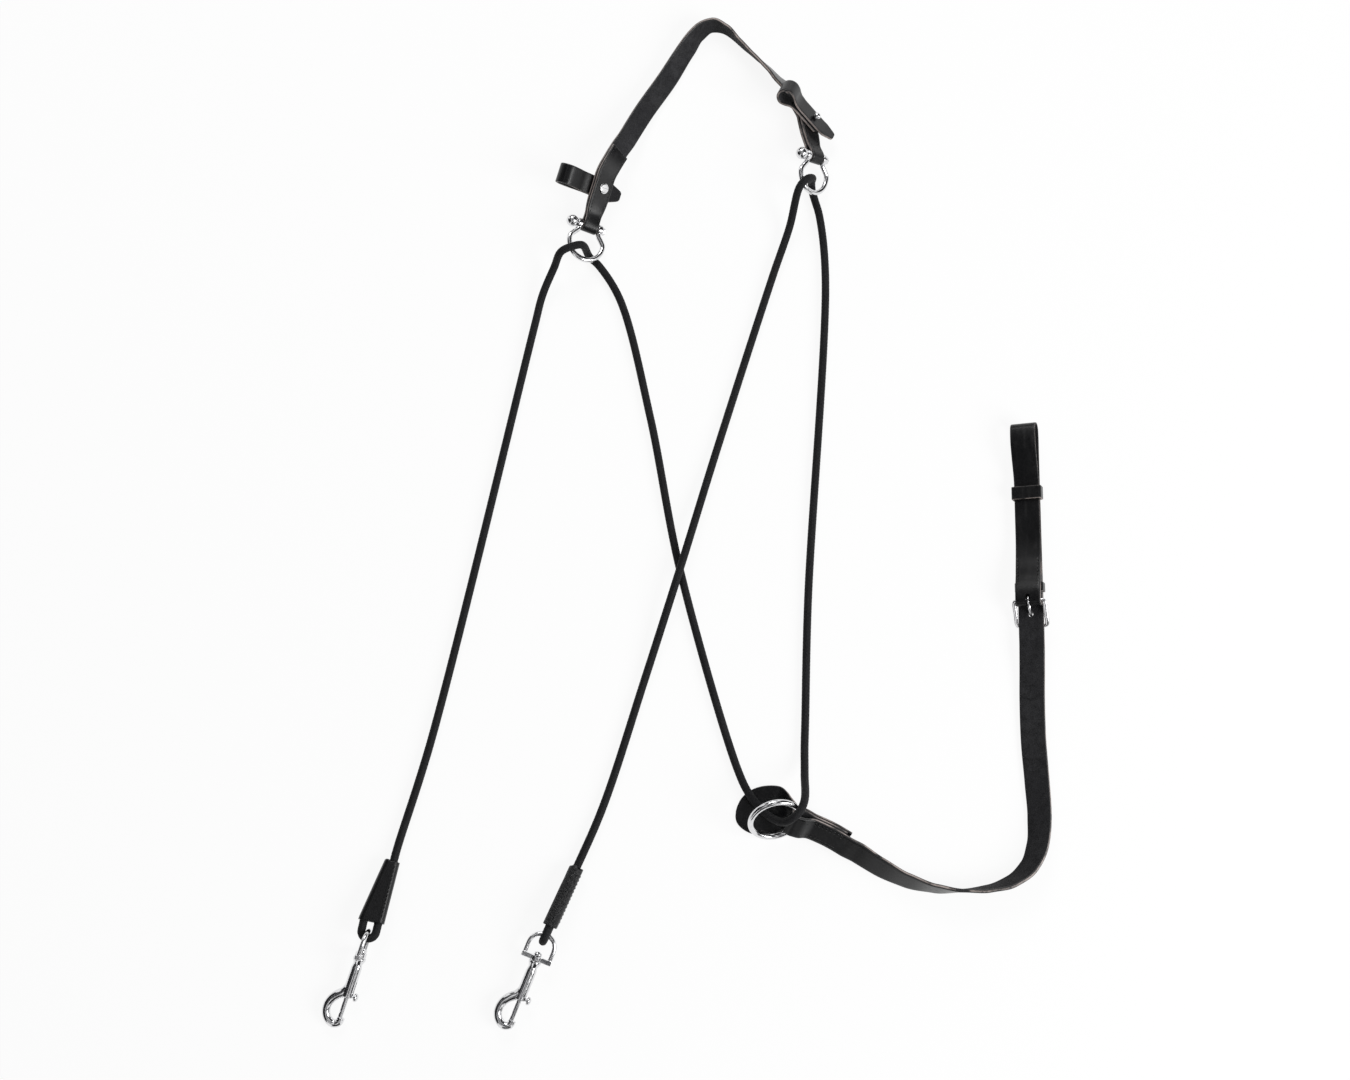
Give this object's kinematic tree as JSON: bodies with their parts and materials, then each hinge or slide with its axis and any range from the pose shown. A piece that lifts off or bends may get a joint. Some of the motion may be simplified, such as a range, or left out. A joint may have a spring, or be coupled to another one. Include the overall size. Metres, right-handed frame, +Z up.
{
  "type": "martingale",
  "caption": "Lungeing martingale laid out flat: leather poll strap, round draw cord through bow shackles and a breast ring, swivel snaps, and a girth strap buckled as a loop.",
  "frame": {"origin": "on the floor, under the middle of everything but the free cord", "axes": "+Y from the snaps towards the poll strap, +X towards the girth strap, +Z up from the floor that it lies on"},
  "size_m": [0.7038, 1.0224, 0.0519],
  "materials": {
    "leather": "black bridle leather, smooth and lightly waxed, edges dyed",
    "suede": "black leather worn matt, with the seam on top",
    "braid": "black round braided cord",
    "plate": "bright nickel or chrome plate, polished",
    "spring_steel": "drawn spring wire"
  },
  "bodies": {
    "harness": {"cord": "braid", "left_cord_end": "braid", "right_cord_end": "braid", "left_cord_sleeve": "leather", "right_cord_sleeve": "suede", "poll_strap": "leather", "left_tab_stud": "plate", "right_tab_stud": "plate", "left_tab_stud_screw": "plate", "right_tab_stud_screw": "plate", "left_shackle_pin": "plate", "right_shackle_pin": "plate", "ring_safe": "leather", "girth_strap": "leather", "buckle_frame": "plate", "buckle_tongue": "plate", "chape_keeper": "leather"},
    "left_bow": {"left_shackle_bow": "plate"},
    "right_bow": {"right_shackle_bow": "plate"},
    "left_tab": {"left_cheek_tab": "leather"},
    "right_tab": {"right_cheek_tab": "leather"},
    "ring": {"breast_ring": "plate"},
    "keeper": {"loop_keeper": "leather"},
    "left_eye": {"left_swivel_eye": "plate"},
    "right_eye": {"right_swivel_eye": "plate"},
    "left_snap": {"left_snap_body": "plate", "left_snap_spring": "spring_steel"},
    "right_snap": {"right_snap_body": "plate", "right_snap_spring": "spring_steel"},
    "left_bolt": {"left_snap_bolt": "plate"},
    "right_bolt": {"right_snap_bolt": "plate"}
  },
  "joints": [
    {"name": "left_bow_swing", "type": "hinge", "parent": "harness", "child": "left_bow", "pos_m": [-0.10312, 0.28527, 0.01579], "axis": [0.8809, -0.1989, -0.4295], "range_deg": [-6, 0.8]},
    {"name": "right_bow_swing", "type": "hinge", "parent": "harness", "child": "right_bow", "pos_m": [0.12808, 0.35757, 0.02199], "axis": [0.7501, 0.0255, -0.6608], "range_deg": [-5, 0.8]},
    {"name": "left_tab_turn", "type": "hinge", "parent": "harness", "child": "left_tab", "pos_m": [-0.09063, 0.32345, 0.02399], "axis": [0.6153, -0.3531, 0.7048], "range_deg": [-12, 12]},
    {"name": "right_tab_turn", "type": "hinge", "parent": "harness", "child": "right_tab", "pos_m": [0.12084, 0.39738, 0.01535], "axis": [-0.6644, -0.233, -0.7101], "range_deg": [-20, 5]},
    {"name": "ring_turn", "type": "hinge", "parent": "harness", "child": "ring", "pos_m": [0.08038, -0.31423, 0.02839], "axis": [0.1807, -0.7531, 0.6326], "continuous": true},
    {"name": "keeper_slide", "type": "slide", "parent": "harness", "child": "keeper", "axis": [0.0097, 0.9997, -0.0219], "range_m": [-0.04, 0.002]},
    {"name": "left_eye_swing", "type": "hinge", "parent": "harness", "child": "left_eye", "pos_m": [-0.30739, -0.41874, 0.01857], "axis": [0, 0, 1], "range_deg": [-20, 20]},
    {"name": "right_eye_swing", "type": "hinge", "parent": "harness", "child": "right_eye", "pos_m": [-0.13873, -0.42225, 0.01495], "axis": [-0.9267, 0.3757, 0], "range_deg": [0, 40]},
    {"name": "left_swivel", "type": "hinge", "parent": "left_eye", "child": "left_snap", "pos_m": [-0.31492, -0.44128, 0.01524], "axis": [0.3141, 0.9392, 0.1387], "continuous": true},
    {"name": "right_swivel", "type": "hinge", "parent": "right_eye", "child": "right_snap", "pos_m": [-0.14773, -0.44444, 0.01327], "axis": [0.3748, 0.9245, 0.07], "continuous": true},
    {"name": "left_bolt_slide", "type": "slide", "parent": "left_snap", "child": "left_bolt", "axis": [0.3141, 0.9392, 0.1387], "range_m": [0, 0.012], "stiffness_N_per_m": 300, "springref_m": -0.006, "deforming": ["left_snap_spring"]},
    {"name": "right_bolt_slide", "type": "slide", "parent": "right_snap", "child": "right_bolt", "axis": [0.3748, 0.9245, 0.07], "range_m": [0, 0.012], "stiffness_N_per_m": 300, "springref_m": -0.006, "deforming": ["right_snap_spring"]}
  ]
}
